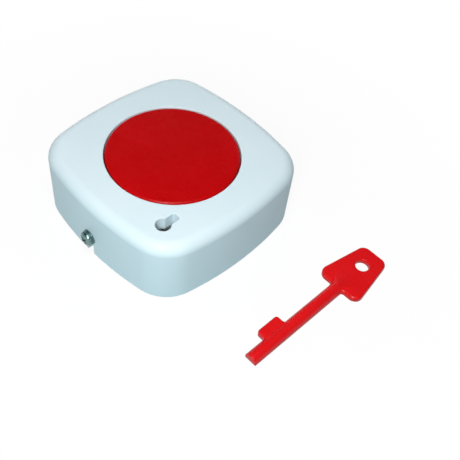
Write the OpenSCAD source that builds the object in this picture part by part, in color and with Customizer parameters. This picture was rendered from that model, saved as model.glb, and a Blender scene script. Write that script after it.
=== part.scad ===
// Wall-mounted panic button with a latching push button and its loose reset key.
// The back face lies on z = 0, +Z points out of the button and -Y is the side with the cover screw.

/* [Cover] */
// Width across the bulged sides
body_w = 68; // [62:0.5:80]
// Height from the wall to the top face
body_h = 24; // [23:0.5:32]
// Radius of the upright corners
corner_r = 13.5; // [11:0.5:18]
// Radius of the bulge of each side
side_r = 115; // [90:1:200]
// Radius of the top edge
edge_r = 4; // [2.5:0.1:6]
// Thickness of the side walls
wall = 2.2; // [1.6:0.1:3]
// Thickness of the top wall
top_wall = 2.7; // [1.8:0.1:3.2]

/* [Push button] */
// Diameter of the red button
button_d = 43.8; // [40:0.1:46]
// Gap between the button and its hole
button_gap = 0.4; // [0.3:0.05:0.8]
// Depth of the button face below the cover face
button_sink = 0; // [0:0.1:1.5]
// Thickness of the button face
button_skin = 2.7; // [1.4:0.1:3]
// Travel of the button
button_travel = 3; // [2:0.1:3.6]
// Radius of the button's rim
rim_r = 0.8; // [0.3:0.1:1.2]
// How far the flange reaches past the hole
flange_lip = 1.4; // [0.8:0.1:2]
// Thickness of the flange
flange_t = 1.6; // [1:0.1:2.4]
// Width of the ring of the flange that carries pins and springs
ring_w = 6.2; // [5.6:0.1:7]
// Diameter of the guide pins
guide_pin_d = 2.6; // [2:0.1:3]
// Length of the guide pins inside their bores at rest
guide_depth = 2.5; // [2:0.1:2.8]

/* [Return springs] */
// Outer diameter of the return springs
spring_d = 5; // [4.6:0.1:5.2]
// Wire of the return springs
spring_wire = 0.6; // [0.4:0.05:0.7]
// Turns of the return springs
spring_turns = 5; // [3:1:6]

/* [Key lock] */
// Keyhole centre to the right of the button centre
keyhole_x = 20.7; // [20:0.1:22]
// Keyhole centre in front of the button centre
keyhole_y = 22.3; // [21.5:0.1:23]
// Clearance of the key in the keyhole
key_clear = 0.4; // [0.2:0.05:0.6]
// Length of the collar under the keyhole
collar_h = 2.3; // [1.5:0.1:2.6]
// Wall of that collar
collar_wall = 1; // [0.6:0.1:1.2]
// Depth of the socket that takes the tip of the key
socket_h = 3.5; // [2:0.5:5]
// Wall of that socket
socket_wall = 1.8; // [1.2:0.1:2.4]

/* [Reset key] */
// Length of the key
key_l = 60; // [55:1:66]
// Diameter of the key's shaft
key_shaft_d = 4.5; // [3.8:0.1:5]
// Height of the shaft over the key's flat back
key_shaft_h = 2.9; // [2.4:0.1:3.6]
// Length of the key's bow
bow_l = 20.2; // [18:0.1:26]
// Width of the bow at its shoulder
bow_w = 16.1; // [14:0.1:20]
// Width of the bow at its end
bow_end_w = 11.1; // [9:0.1:14]
// Radius of the bow's corners
bow_corner_r = 2.9; // [2:0.1:4]
// Thickness of the bow
bow_t = 2; // [1.6:0.1:3]
// Diameter of the ring hole
ring_hole_d = 4.6; // [3:0.1:5.5]
// Ring hole centre from the end of the bow
ring_hole_in = 7.3; // [6:0.1:9]
// Start of the bit from the tip
bit_start = 7.9; // [7.2:0.1:9]
// Length of the bit
bit_l = 8.7; // [8:0.1:10]
// Reach of the bit from the axis of the shaft
bit_reach = 5.2; // [4.6:0.1:5.8]
// Thickness of the bit
bit_t = 2.5; // [1.8:0.1:2.8]
// Radius of the bit's corners
bit_corner_r = 1; // [0.5:0.1:1.5]
// Place of the key's tip to the right of the button
key_x = 62.3; // [58:0.1:80]
// Place of the key's tip in front of the button
key_y = 24.2; // [10:0.1:40]
// Angle at which the key lies
key_angle = -0.6; // [-10:0.1:10]

/* [Base] */
// Thickness of the base plate
base_t = 2.5; // [2:0.1:3.2]
// Clearance between the base plate and the cover
base_clear = 0.25; // [0.15:0.05:0.5]
// Distance between the two wall holes
wall_hole_spacing = 48; // [44:0.5:50]
// Diameter of the wall holes
wall_hole_d = 4.2; // [3:0.1:5]
// Diameter of the cable hole
cable_hole_d = 8; // [5:0.5:9]
// Cable hole centre from the left side of the body
cable_in = 10; // [9:0.1:11]
// Cable hole centre behind the middle of the body
cable_y = 14; // [11:0.1:15]
// Height of the springs' seats above the base plate
seat_h = 6.5; // [6:0.1:7.5]
// Clearance of the springs in their towers
tower_clear = 0.3; // [0.2:0.05:0.4]
// Wall of the spring towers
tower_wall = 0.8; // [0.6:0.1:1]
// Width of each hook that holds the cover
hook_w = 5; // [3:0.5:7]
// Distance between the two hooks
hook_spacing = 24; // [18:0.5:30]

/* [Cover screw] */
// Thread diameter of the cover screw
screw_d = 2.5; // [2:0.1:3]
// Diameter of its pan head
screw_head_d = 4.9; // [4.4:0.1:6]
// Height of its pan head
screw_head_h = 1.8; // [1.4:0.1:2.6]
// Height of its axis above the wall
screw_z = 7.6; // [6.5:0.1:8.5]
// Place of its axis to the right of the middle
screw_x = -0.8; // [-2:0.1:2]
// Diameter of its washer
washer_d = 5.4; // [4.8:0.1:6]
// Thickness of its washer
washer_t = 0.5; // [0.3:0.1:0.8]
// Width of its nut across the flats
nut_w = 5; // [4.4:0.1:5.5]
// Thickness of its nut
nut_t = 2; // [1.6:0.1:2.4]

/* [Latch] */
// Thickness of the latch slide
slide_t = 1.5; // [1:0.1:2]
// Width of the latch slide
slide_w = 6; // [5.6:0.1:6.2]
// Travel of the latch slide
slide_travel = 2; // [1.5:0.1:2.4]
// Width of the latch leg along the button's edge
leg_l = 4.5; // [4:0.1:5]
// Thickness of the latch leg
leg_t = 3; // [2.4:0.1:3.2]
// Distance between the two guide screws
guide_screw_spacing = 19; // [18.5:0.1:20]
// Shoulder diameter of the guide screws
guide_screw_d = 2.4; // [2:0.1:2.6]
// Diameter of the heads of the guide screws
guide_head_d = 4.4; // [4:0.1:5]
// Height of the heads of the guide screws
guide_head_h = 1.4; // [1:0.1:1.6]
// Outer diameter of the latch spring
latch_spring_d = 4.4; // [3.6:0.1:4.8]
// Wire of the latch spring
latch_wire = 0.5; // [0.3:0.05:0.6]
// Turns of the latch spring
latch_turns = 5; // [3:1:6]
// Length of the latch spring at rest
latch_spring_l = 8; // [7:0.1:9]

/* [Circuit board] */
// Width of the board
board_w = 20.8; // [20:0.1:21.4]
// Length of the board
board_l = 42.5; // [42:0.1:44]
// Thickness of the board
board_t = 1.6; // [1:0.1:2]
// Front edge of the board in front of the centre
board_front = 15.5; // [15:0.1:16]
// Height of the board's posts
board_post_h = 2.5; // [2.2:0.1:3]
// Thread diameter of the board screws
board_screw_d = 2; // [1.6:0.1:2.2]

/* [Switch] */
// Width of the switch case
switch_w = 6.4; // [6:0.1:8]
// Length of the switch case
switch_l = 19.8; // [19:0.1:21]
// Length of the lever from pivot to tip
lever_l = 15.5; // [14:0.1:16]
// Width of the lever
lever_w = 3.6; // [2.6:0.1:3.8]
// Thickness of the lever
lever_t = 0.5; // [0.3:0.05:0.7]
// Distance of the plunger from the pivot
plunger_y = 5; // [4:0.1:6]
// Diameter of the plunger
plunger_d = 1.6; // [1.2:0.1:2]
// Diameter of the lever's pivot pin
pivot_d = 0.8; // [0.6:0.05:0.9]
// Height of the pad under the button
pad_h = 1.2; // [0.8:0.1:1.6]

/* [Terminals] */
// Number of ways of the terminal block
ways = 3; // [2:1:3]
// Distance between the ways
way_pitch = 5; // [4.8:0.1:5]
// Depth of the terminal block
block_l = 8; // [7.5:0.1:8.5]
// Diameter of the wire holes
wire_hole_d = 2.4; // [1.6:0.1:2.8]

/* [Hidden] */
$fn = 64;

// Small clearances and overlaps of cuts
cut = 1;
lap = 0.5;
face_gap = 0.1;
fit_gap = 0.08;
thread_gap = 0.05;
slide_gap = 0.3;
touch_gap = 0.15;
pin_end_gap = 0.4;

// Outline of the body, eight arcs that meet smoothly, and the steps that each is drawn with
side_steps = 8;
corner_steps = 12;
edge_steps = 6;
half_w = body_w / 2;
side_off = side_r - half_w;
arc_off = side_r - corner_r;
corner_c = (sqrt(2 * arc_off * arc_off - side_off * side_off) - side_off) / 2;
side_turn = atan2(corner_c, corner_c + side_off);

// Heights of the button, from the top face down
hole_r = button_d / 2 + button_gap;
flange_r = hole_r + flange_lip;
pocket_r = flange_r - ring_w;
ring_mid = flange_r - ring_w / 2;
guide_xy = ring_mid / sqrt(2);
button_top = body_h - button_sink;
ceiling_z = button_top - button_skin;
flange_top = body_h - top_wall - face_gap;
flange_z = flange_top - flange_t;
press_z = flange_z - button_travel;
seat_z = base_t + seat_h;
tower_d = spring_d + 2 * tower_clear + 2 * tower_wall;

// Key lock
keyhole_d = key_shaft_d + key_clear;
slot_w = bit_t + key_clear;
slot_end = bit_reach + key_clear / 2 + 0.1;
collar_z = body_h - top_wall - collar_h;

// Latch: the slide runs below the pushed flange, under the heads of its guide screws
head_room = 0.6;
tower_top = press_z - head_room;
slide_z = press_z - head_room - guide_head_h - face_gap - slide_t;
slide_top = slide_z + slide_t;
slide_y = -(flange_r - leg_t / 2 - head_room);
slide_end = keyhole_x - bit_reach + slide_travel;
tab_t = 1.8;
guide_post_d = guide_screw_d + 2.8;
slide_start = -guide_screw_spacing / 2 - guide_post_d / 2 - slide_gap - tab_t;
tab_top = press_z - head_room;
window_gap = 0.5;
ramp = slide_travel / button_travel;
ramp_gap = 0.2;
leg_edge = leg_l / 2;
hook_depth = slide_travel + 0.2;
leg_z = slide_z - 1;
ledge_z = slide_z + button_travel;
catch_x = -leg_edge + (ledge_z - slide_top) * ramp - ramp_gap;
peg_d = latch_spring_d - 2 * latch_wire - 1;
peg_l = 2.2;
spring_post_x = slide_start - latch_spring_l;
spring_post_t = 2.4;
latch_mid = slide_z + slide_t / 2;

// Cover screw and its lug
lug_front = -(half_w - wall - 2 * base_clear);
lug_skin = 2.6;
nut_y = lug_front + lug_skin;
lug_back = nut_y + nut_t + 0.1;
lug_w = nut_w / cos(30) + 2;
lug_top = screw_z + nut_w / 2 + 1;
notch_w = screw_d + 2 * slide_gap;

// Hooks that hold the cover at the back
hook_z = 1.6;
hook_t = 1.4;
hook_y = half_w - wall + 0.2;
hook_post = 2;

// Board, switch and terminals
board_z = base_t + board_post_h;
board_top = board_z + board_t;
board_post_d = 5;
board_head_d = 3.6;
board_head_h = 1.3;
board_post_x = board_w / 2 - board_head_d / 2 - 0.8;
post_front = -board_front + board_head_d / 2 + 0.9;
switch_back = 11.8;
post_back = switch_back + board_head_d / 2 + 0.6;
switch_front = switch_back - switch_l;
pivot_y = switch_front + 1.5;
tip_r = 0.6;
knuckle_r = pivot_d / 2 + 0.5;
tip_z = ceiling_z - pad_h - touch_gap - tip_r;
pivot_z = tip_z - button_travel;
lever_angle = asin(button_travel / lever_l);
case_top = pivot_z - knuckle_r - face_gap;
tip_y = pivot_y + lever_l * cos(lever_angle);
lever_under = pivot_z + plunger_y * tan(lever_angle) - lever_t / 2 / cos(lever_angle);
plunger_z = lever_under - (plunger_d / 2 + touch_gap) / cos(lever_angle);
plunger_drop = button_travel * plunger_y / lever_l;
plunger_l = 1.6;
pin_d = 0.9;
solder_d = 2;
solder_h = 0.9;
pin_drop = 1.4;
switch_pitch = 7.3;
switch_mid = (switch_front + switch_back) / 2;
block_front = post_back + board_head_d / 2 + 0.8;
block_w = ways * way_pitch + 0.4;
block_top = press_z - head_room;
clamp_w = 4;
clamp_l = 5.5;
clamp_h = 4.6;
clamp_z = board_top + 1.4;
clamp_y = block_front + 1.6;
clamp_mid = clamp_y + clamp_l / 2;
clamp_screw_d = 2;
clamp_head_d = 2.9;
clamp_head_h = 1.2;

// Section through a turned rim: from r0 to r1, h high, with its outer top edge rounded by e
module edge_profile(r0, r1, h, e) {
    translate([r0, 0])
        square([r1 - r0, h - e]);
    if (e > 0) {
        translate([r0, 0])
            square([r1 - e - r0, h]);
        translate([r1 - e, h - e])
            intersection() {
                circle(e);
                square(e);
            }
    }
}

// Points of the body's bulged outline, anticlockwise and drawn in by inset
function bulged_outline(inset) =
    [for (q = [0 : 90 : 270])
        each [for (p = concat(
            [for (i = [0 : side_steps])
                let (a = side_turn * (2 * i / side_steps - 1))
                [(side_r - inset) * cos(a) - side_off, (side_r - inset) * sin(a)]],
            [for (i = [1 : corner_steps - 1])
                let (a = side_turn + (90 - 2 * side_turn) * i / corner_steps)
                [corner_c + (corner_r - inset) * cos(a), corner_c + (corner_r - inset) * sin(a)]]))
            [p[0] * cos(q) - p[1] * sin(q), p[0] * sin(q) + p[1] * cos(q)]]];

// Block with the bulged outline, drawn in by inset, from z0 to z1, its top edge rounded by e
module bulged_block(inset, z0, z1, e) {
    rings = concat([[inset, z0], [inset, z1 - e]],
                   [for (k = [1 : edge_steps])
                       let (a = 90 * k / edge_steps)
                       [inset + e * (1 - cos(a)), z1 - e * (1 - sin(a))]]);
    n = 4 * (side_steps + corner_steps);
    last = len(rings) - 1;
    points = [for (ring = rings, p = bulged_outline(ring[0])) [p[0], p[1], ring[1]]];
    skin = [for (i = [0 : last - 1], k = [0 : n - 1])
        let (a = i * n + k, b = i * n + (k + 1) % n)
        [a, a + n, b + n, b]];
    bottom = [for (k = [0 : n - 1]) k];
    top = [for (k = [n - 1 : -1 : 0]) last * n + k];
    polyhedron(points, concat(skin, [bottom, top]));
}

// Convex outline whose corners have radius r around the given centres, listed anticlockwise
module rounded_outline(centres, r) {
    n = len(centres);
    polygon([for (i = [0 : n - 1], s = [-1, 0])
        let (a = centres[(i + s + n) % n], b = centres[(i + s + 1) % n], d = (b - a) / norm(b - a))
        centres[i] + r * [d[1], -d[0]]]);
    for (c = centres)
        translate(c)
            circle(r, $fn = 32);
}

// Points along a spring's wire: turns around +Z from z0 to z1, with mean radius r
function coil_path(r, turns, z0, z1) =
    [for (i = [0 : turns * 8])
        [r * cos(i * 45), r * sin(i * 45), z0 + (z1 - z0) * i / (turns * 8)]];

// Least distance between stretches of a path that lie at least half a turn apart
function least_gap(path) =
    min([for (i = [0 : len(path) - 1], j = [i + 4 : 1 : len(path) - 1]) norm(path[i] - path[j])]);

// One unbroken round wire along a path that climbs around +Z
module wire(path, d) {
    sides = 6;
    n = len(path);
    points = [for (p = path, k = [0 : sides - 1])
        let (out = [p[0], p[1], 0] / norm([p[0], p[1]]))
        p + d / 2 * (out * cos(k * 60) + [0, 0, 1] * sin(k * 60))];
    skin = [for (i = [0 : n - 2], k = [0 : sides - 1])
        let (a = i * sides + k, b = i * sides + (k + 1) % sides)
        each [[a, b, b + sides], [a, b + sides, a + sides]]];
    cap_a = [for (k = [1 : sides - 2]) [0, k + 1, k]];
    cap_b = [for (k = [1 : sides - 2]) [(n - 1) * sides, (n - 1) * sides + k, (n - 1) * sides + k + 1]];
    polyhedron(points, concat(skin, cap_a, cap_b));
}

// Four places of the button's guides
module at_guides() {
    for (x = [-guide_xy, guide_xy], y = [-guide_xy, guide_xy])
        translate([x, y, 0])
            children();
}

// Four places of the board's screws
module at_board_posts() {
    for (x = [-board_post_x, board_post_x], y = [post_front, post_back])
        translate([x, y, 0])
            children();
}

// Places of the terminal ways
module at_ways() {
    for (i = [0 : ways - 1])
        translate([(i - (ways - 1) / 2) * way_pitch, 0, 0])
            children();
}

// Places of the switch's legs
module at_switch_pins() {
    for (i = [-1 : 1])
        translate([0, switch_mid + i * switch_pitch, 0])
            children();
}

// Places of the latch's guide screws
module at_guide_screws() {
    for (x = [-guide_screw_spacing / 2, guide_screw_spacing / 2])
        translate([x, slide_y, 0])
            children();
}

// Lies along -Y at the cover screw's axis, starting at y
module along_screw(y) {
    translate([screw_x, y, screw_z])
        rotate([-90, 0, 0])
            children();
}

// Room of the keyhole from z up: a round hole with a slot on its +Y side, drawn out by grow
module keyhole(grow, z, h) {
    translate([keyhole_x, -keyhole_y, z]) {
        cylinder(d = keyhole_d + 2 * grow, h = h);
        translate([-slot_w / 2 - grow, 0, 0])
            cube([slot_w + 2 * grow, slot_end + grow, h]);
    }
}

module cover() {
    color("white")
        difference() {
            union() {
                difference() {
                    bulged_block(0, 0, body_h, edge_r);
                    bulged_block(wall, -cut, body_h - top_wall, max(edge_r - wall, 0.3));
                }
                keyhole(collar_wall, collar_z, collar_h + lap);
            }
            translate([0, 0, body_h - top_wall - cut])
                cylinder(r = hole_r, h = top_wall + 2 * cut, $fn = 128);
            keyhole(0, collar_z - cut, collar_h + top_wall + 2 * cut);
            along_screw(-half_w - cut)
                cylinder(d = notch_w, h = wall + 2 * cut);
            translate([screw_x - notch_w / 2, -half_w - cut, -cut])
                cube([notch_w, wall + 2 * cut, screw_z + cut]);
            for (x = [-hook_spacing / 2, hook_spacing / 2])
                translate([x - hook_w / 2 - slide_gap, hook_y - 3, base_t + hook_z - slide_gap])
                    cube([hook_w + 2 * slide_gap, 3 + slide_gap, hook_t + 2 * slide_gap]);
        }
}

// Lug of the base that the cover screw passes, with the seat of its nut
module screw_lug() {
    difference() {
        translate([screw_x - lug_w / 2, lug_front, base_t - lap])
            cube([lug_w, lug_back - lug_front, lug_top - base_t + lap]);
        along_screw(lug_front - cut)
            cylinder(d = screw_d + 2 * thread_gap, h = lug_back - lug_front + 2 * cut);
        along_screw(nut_y)
            cylinder(d = (nut_w + 2 * face_gap) / cos(30), h = nut_t + cut, $fn = 6);
    }
}

// Hook of the base that reaches into the back wall of the cover
module cover_hook() {
    top = base_t + hook_z + hook_t;
    translate([-hook_w / 2, hook_y - hook_post - 2, base_t - lap])
        cube([hook_w, hook_post, top - base_t + lap]);
    translate([-hook_w / 2, hook_y - hook_post - 2, base_t + hook_z])
        cube([hook_w, hook_post + 2, hook_t]);
}

module base_plate() {
    color("whitesmoke")
        difference() {
            union() {
                linear_extrude(base_t)
                    polygon(bulged_outline(wall + base_clear));
                at_guides()
                    translate([0, 0, base_t - lap])
                        cylinder(d = tower_d, h = tower_top - base_t + lap);
                at_board_posts()
                    translate([0, 0, base_t - lap])
                        cylinder(d = board_post_d, h = board_post_h + lap);
                at_guide_screws()
                    translate([0, 0, base_t - lap])
                        cylinder(d = guide_post_d, h = slide_z - face_gap - base_t + lap);
                translate([keyhole_x, -keyhole_y, base_t - lap])
                    cylinder(d = keyhole_d + 2 * socket_wall, h = socket_h + lap);
                screw_lug();
                for (x = [-hook_spacing / 2, hook_spacing / 2])
                    translate([x, 0, 0])
                        cover_hook();
                spring_post();
            }
            at_guides() {
                translate([0, 0, seat_z - guide_depth - button_travel - pin_end_gap])
                    cylinder(d = guide_pin_d + 2 * fit_gap, h = tower_top);
                translate([0, 0, seat_z])
                    cylinder(d = tower_d - 2 * tower_wall, h = tower_top);
            }
            at_board_posts()
                translate([0, 0, base_t])
                    cylinder(d = board_screw_d + 2 * thread_gap, h = board_post_h + cut);
            at_guide_screws()
                translate([0, 0, base_t])
                    cylinder(d = guide_screw_d + 2 * thread_gap, h = slide_z);
            translate([keyhole_x, -keyhole_y, base_t])
                cylinder(d = keyhole_d, h = socket_h + cut);
            for (x = [-wall_hole_spacing / 2, wall_hole_spacing / 2])
                translate([x, 0, -cut])
                    cylinder(d = wall_hole_d, h = base_t + 2 * cut);
            translate([cable_in - half_w, cable_y, -cut])
                cylinder(d = cable_hole_d, h = base_t + 2 * cut);
        }
}

// Post that the latch spring pushes against, with the peg that centres it
module spring_post() {
    w = latch_spring_d + 1;
    translate([spring_post_x - spring_post_t, slide_y - w / 2, base_t - lap])
        cube([spring_post_t, w, latch_mid + w / 2 - base_t + lap]);
    translate([spring_post_x - lap, slide_y, latch_mid])
        rotate([0, 90, 0])
            cylinder(d = peg_d, h = peg_l + lap);
}

module cover_screw() {
    head_y = -half_w - washer_t;
    color("dimgray")
        difference() {
            union() {
                along_screw(head_y - screw_head_h)
                    rotate_extrude()
                        translate([0, screw_head_h])
                            mirror([0, 1])
                                edge_profile(0, screw_head_d / 2, screw_head_h, screw_head_h * 0.6);
                along_screw(head_y - lap)
                    cylinder(d = screw_d, h = lug_back - head_y + lap + 0.4);
            }
            for (turn = [45, 135])
                along_screw(head_y - screw_head_h - cut)
                    rotate([0, 0, turn])
                        translate([-screw_head_d * 0.32, -0.3, 0])
                            cube([screw_head_d * 0.64, 0.6, cut + screw_head_h * 0.55]);
        }
}

module cover_screw_washer() {
    color("darkgray")
        along_screw(-half_w - washer_t)
            difference() {
                cylinder(d = washer_d, h = washer_t);
                translate([0, 0, -cut])
                    cylinder(d = screw_d + 2 * face_gap, h = washer_t + 2 * cut);
            }
}

module cover_screw_nut() {
    color("silver")
        along_screw(nut_y)
            difference() {
                cylinder(d = nut_w / cos(30), h = nut_t, $fn = 6);
                translate([0, 0, -cut])
                    cylinder(d = screw_d + 2 * thread_gap, h = nut_t + 2 * cut);
            }
}

module circuit_board() {
    color("seagreen")
        difference() {
            translate([-board_w / 2, -board_front, board_z])
                cube([board_w, board_l, board_t]);
            translate([0, 0, board_z - cut]) {
                at_board_posts()
                    cylinder(d = board_screw_d + 2 * face_gap, h = board_t + 2 * cut);
                at_switch_pins()
                    cylinder(d = pin_d + 2 * face_gap, h = board_t + 2 * cut);
                at_ways()
                    translate([0, clamp_mid, 0])
                        cylinder(d = pin_d + 2 * face_gap, h = board_t + 2 * cut);
            }
        }
}

module board_screws() {
    color("silver")
        at_board_posts() {
            translate([0, 0, board_top])
                difference() {
                    rotate_extrude()
                        edge_profile(0, board_head_d / 2, board_head_h, board_head_h * 0.6);
                    translate([-board_head_d, -0.25, board_head_h * 0.5])
                        cube([2 * board_head_d, 0.5, board_head_h]);
                }
            translate([0, 0, base_t + 0.2])
                cylinder(d = board_screw_d, h = board_top - base_t);
        }
}

module switch_case() {
    lug = (switch_w - lever_w) / 2 - slide_gap;
    color("black")
        difference() {
            union() {
                translate([-switch_w / 2, switch_front, board_top])
                    cube([switch_w, switch_l, case_top - board_top]);
                for (x = [-switch_w / 2, switch_w / 2 - lug])
                    translate([x, pivot_y - knuckle_r - 0.2, case_top - lap])
                        cube([lug, 2 * knuckle_r + 0.4, pivot_z - case_top + lap + knuckle_r]);
            }
            translate([-switch_w / 2 - cut, pivot_y, pivot_z])
                rotate([0, 90, 0])
                    cylinder(d = pivot_d + 2 * thread_gap, h = switch_w + 2 * cut);
            translate([0, pivot_y + plunger_y, plunger_z - plunger_l - plunger_drop - 0.4])
                cylinder(d = plunger_d + 2 * fit_gap, h = case_top);
        }
}

// Soldered leg that stands through the board, from top down
module board_leg(top) {
    translate([0, 0, board_z - pin_drop])
        cylinder(d = pin_d, h = top - board_z + pin_drop);
    translate([0, 0, board_z - solder_h])
        cylinder(d1 = pin_d, d2 = solder_d, h = solder_h);
}

module switch_pins() {
    color("silver")
        at_switch_pins()
            board_leg(board_top);
}

module switch_lever() {
    color("silver")
        translate([0, pivot_y, pivot_z])
            rotate([lever_angle, 0, 0])
                difference() {
                    union() {
                        translate([-lever_w / 2, 0, -lever_t / 2])
                            cube([lever_w, lever_l, lever_t]);
                        translate([-lever_w / 2, 0, 0])
                            rotate([0, 90, 0])
                                cylinder(r = knuckle_r, h = lever_w);
                        translate([-lever_w / 2, lever_l, 0])
                            rotate([0, 90, 0])
                                cylinder(r = tip_r, h = lever_w);
                    }
                    translate([-lever_w / 2 - cut, 0, 0])
                        rotate([0, 90, 0])
                            cylinder(d = pivot_d + 2 * thread_gap, h = lever_w + 2 * cut);
                }
}

module lever_pin() {
    color("gray")
        translate([-switch_w / 2, pivot_y, pivot_z])
            rotate([0, 90, 0])
                cylinder(d = pivot_d, h = switch_w);
}

module switch_plunger() {
    color("firebrick")
        translate([0, pivot_y + plunger_y, plunger_z]) {
            translate([0, 0, -plunger_l])
                cylinder(d = plunger_d, h = plunger_l);
            sphere(d = plunger_d);
        }
}

module terminal_block() {
    color("royalblue")
        difference() {
            translate([-block_w / 2, block_front, board_top])
                cube([block_w, block_l, block_top - board_top]);
            at_ways() {
                translate([-clamp_w / 2 - face_gap, clamp_y - face_gap, clamp_z])
                    cube([clamp_w + 2 * face_gap, block_l, clamp_h + face_gap]);
                translate([0, clamp_mid, clamp_z])
                    cylinder(d = clamp_head_d + 2 * face_gap, h = block_top);
                translate([0, clamp_mid, board_top - cut])
                    cylinder(d = pin_d + 2 * face_gap, h = clamp_z - board_top + 2 * cut);
            }
        }
}

module terminal_clamps() {
    color("gold")
        at_ways() {
            difference() {
                translate([-clamp_w / 2, clamp_y, clamp_z])
                    cube([clamp_w, clamp_l, clamp_h]);
                translate([0, clamp_y + 1, clamp_z + 0.5 + wire_hole_d / 2])
                    rotate([-90, 0, 0])
                        cylinder(d = wire_hole_d, h = clamp_l);
                translate([0, clamp_mid, clamp_z + clamp_h / 2])
                    cylinder(d = clamp_screw_d + 2 * thread_gap, h = clamp_h);
            }
            translate([0, clamp_mid, 0])
                board_leg(clamp_z + lap / 2);
        }
}

module terminal_screws() {
    color("silver")
        at_ways()
            translate([0, clamp_mid, clamp_z + clamp_h]) {
                difference() {
                    cylinder(d = clamp_head_d, h = clamp_head_h);
                    translate([-clamp_head_d, -0.25, clamp_head_h * 0.5])
                        cube([2 * clamp_head_d, 0.5, clamp_head_h]);
                }
                translate([0, 0, -clamp_h / 2 + 0.8])
                    cylinder(d = clamp_screw_d, h = clamp_h / 2);
            }
}

// Leg under the flange: a hook whose lower end is a ramp that drives the latch slide
module latch_leg() {
    foot_x = -leg_edge + (ledge_z - leg_z) * ramp;
    translate([0, slide_y + leg_t / 2, 0])
        rotate([90, 0, 0])
            linear_extrude(leg_t)
                polygon([[foot_x, leg_z], [leg_edge, leg_z], [leg_edge, flange_z + lap],
                         [hook_depth - leg_edge, flange_z + lap], [hook_depth - leg_edge, ledge_z],
                         [-leg_edge, ledge_z]]);
}

module push_button() {
    color("firebrick") {
        translate([0, 0, flange_z])
            rotate_extrude($fn = 128)
                difference() {
                    union() {
                        edge_profile(0, button_d / 2, button_top - flange_z, rim_r);
                        square([flange_r, flange_t]);
                    }
                    translate([-cut, -cut])
                        square([pocket_r + cut, ceiling_z - flange_z + cut]);
                }
        at_guides()
            translate([0, 0, seat_z - guide_depth])
                cylinder(d = guide_pin_d, h = flange_z - seat_z + guide_depth + lap);
        translate([-lever_w / 2 - 1, tip_y - 2, ceiling_z - pad_h])
            cube([lever_w + 2, 4, pad_h + lap]);
        latch_leg();
    }
}

module return_springs() {
    path = coil_path(spring_d / 2 - spring_wire / 2, spring_turns, seat_z + spring_wire / 2 + touch_gap,
                     flange_z - spring_wire / 2 - touch_gap);
    echo(return_spring_gap = least_gap(path) - spring_wire);
    color("silver")
        at_guides()
            wire(path, spring_wire);
}

module latch_slide() {
    w = slide_w;
    window_end = leg_edge + slide_travel + window_gap;
    guide_slot_w = guide_screw_d + 2 * slide_gap;
    color("gray")
        difference() {
            union() {
                translate([slide_start, slide_y - w / 2, slide_z])
                    cube([slide_end - slide_start, w, slide_t]);
                translate([slide_end - tab_t, slide_y - w / 2, slide_z])
                    cube([tab_t, w, tab_top - slide_z]);
                translate([slide_start, slide_y - w / 2, latch_mid - latch_spring_d / 2])
                    cube([tab_t, w, latch_spring_d]);
                translate([slide_start - peg_l, slide_y, latch_mid])
                    rotate([0, 90, 0])
                        cylinder(d = peg_d, h = peg_l + lap);
            }
            translate([0, slide_y + leg_t / 2 + window_gap, 0])
                rotate([90, 0, 0])
                    linear_extrude(leg_t + 2 * window_gap)
                        polygon([[catch_x - cut * ramp, slide_top + cut],
                                 [catch_x + (slide_t + cut) * ramp, slide_z - cut],
                                 [window_end, slide_z - cut], [window_end, slide_top + cut]]);
            at_guide_screws()
                translate([-guide_slot_w / 2, -guide_slot_w / 2, slide_z - cut])
                    cube([guide_slot_w + slide_travel, guide_slot_w, slide_t + 2 * cut]);
        }
}

module latch_guide_screws() {
    color("silver")
        at_guide_screws() {
            translate([0, 0, slide_top + face_gap])
                difference() {
                    cylinder(d = guide_head_d, h = guide_head_h);
                    translate([-guide_head_d, -0.3, guide_head_h * 0.5])
                        cube([2 * guide_head_d, 0.6, guide_head_h]);
                }
            translate([0, 0, base_t + 0.2])
                cylinder(d = guide_screw_d, h = slide_top + face_gap - base_t);
        }
}

module latch_spring() {
    path = coil_path(latch_spring_d / 2 - latch_wire / 2, latch_turns, latch_wire / 2 + touch_gap,
                     latch_spring_l - latch_wire / 2 - touch_gap);
    echo(latch_spring_gap = least_gap(path) - latch_wire);
    color("silver")
        translate([spring_post_x, slide_y, latch_mid])
            rotate([0, 90, 0])
                wire(path, latch_wire);
}

module reset_key() {
    bow_y = key_l - bow_l;
    r = bow_corner_r;
    b = bit_corner_r;
    color("red")
        translate([key_x, -key_y, 0])
            rotate([0, 0, key_angle])
                difference() {
                    union() {
                        difference() {
                            translate([0, 0, key_shaft_h - key_shaft_d / 2])
                                rotate([-90, 0, 0])
                                    cylinder(d = key_shaft_d, h = bow_y + r);
                            translate([-key_shaft_d, -cut, -key_shaft_d])
                                cube([2 * key_shaft_d, key_l, key_shaft_d]);
                        }
                        linear_extrude(bow_t)
                            rounded_outline([[bow_w / 2 - r, bow_y + r],
                                             [bow_end_w / 2 - r, key_l - r],
                                             [r - bow_end_w / 2, key_l - r],
                                             [r - bow_w / 2, bow_y + r]], r);
                        linear_extrude(bit_t)
                            rounded_outline([[-b, bit_start + b],
                                             [-b, bit_start + bit_l - b],
                                             [b - bit_reach, bit_start + bit_l - b],
                                             [b - bit_reach, bit_start + b]], b);
                    }
                    translate([0, key_l - ring_hole_in, -cut])
                        cylinder(d = ring_hole_d, h = bow_t + 2 * cut);
                }
}

cover();
base_plate();
cover_screw();
cover_screw_washer();
cover_screw_nut();
circuit_board();
board_screws();
switch_case();
switch_pins();
switch_lever();
lever_pin();
switch_plunger();
terminal_block();
terminal_clamps();
terminal_screws();
push_button();
return_springs();
latch_slide();
latch_guide_screws();
latch_spring();
reset_key();
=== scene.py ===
"""Finish of a wall-mounted panic button and its loose reset key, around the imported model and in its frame."""

import bmesh
import bpy
import numpy as np
from mathutils import Matrix


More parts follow.
